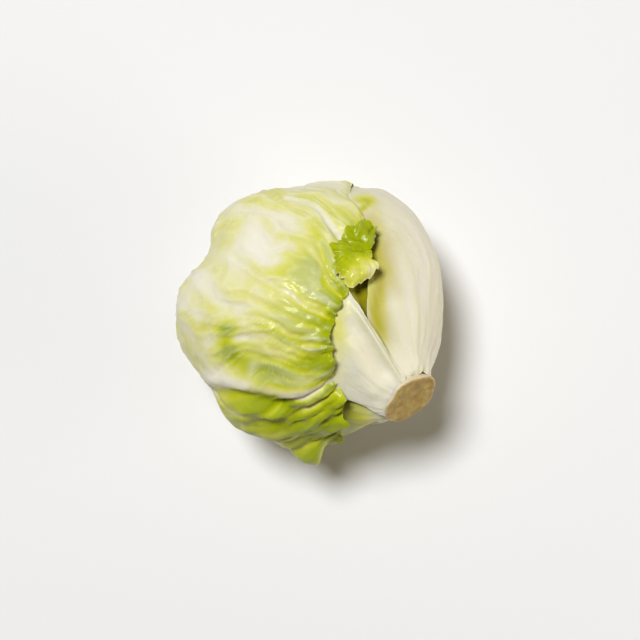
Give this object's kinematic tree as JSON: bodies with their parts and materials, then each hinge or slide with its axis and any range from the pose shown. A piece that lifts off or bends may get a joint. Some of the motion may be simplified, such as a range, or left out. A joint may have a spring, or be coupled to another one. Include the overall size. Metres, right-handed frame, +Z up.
{
  "type": "iceberg lettuce",
  "caption": "Head of iceberg lettuce lying on its side, pale crisp leaves wrapped tightly, a frilly green outer leaf and a cut stem",
  "frame": {"origin": "Centre of the flat the head rests on, on the surface, straight below the middle of the head.", "axes": "+X to the right in plan, the side the cut stem points to; +Y to the far side in plan, away from the stem; +Z up from the surface through the middle of the head."},
  "size_m": [0.1494, 0.1555, 0.1315],
  "materials": {
    "green_leaf": "crisp waxy leaf, yellow-green with whitish veins, slightly wet",
    "pale_leaf": "smooth waxy cream-white leaf with faint long veins",
    "inner_leaf": "shaded yellow-green inner leaf",
    "stem_cut": "dry tan cut with a paler rim"
  },
  "bodies": {
    "root": {"stem": "stem_cut", "heart": "inner_leaf", "folded_tip": "green_leaf", "under_leaf": "pale_leaf", "hood_leaf": "green_leaf", "rib_leaf": "pale_leaf", "side_leaf": "pale_leaf", "lower_leaf": "pale_leaf", "inner_leaf_a": "inner_leaf", "inner_leaf_b": "inner_leaf", "inner_leaf_c": "inner_leaf"}
  },
  "joints": []
}
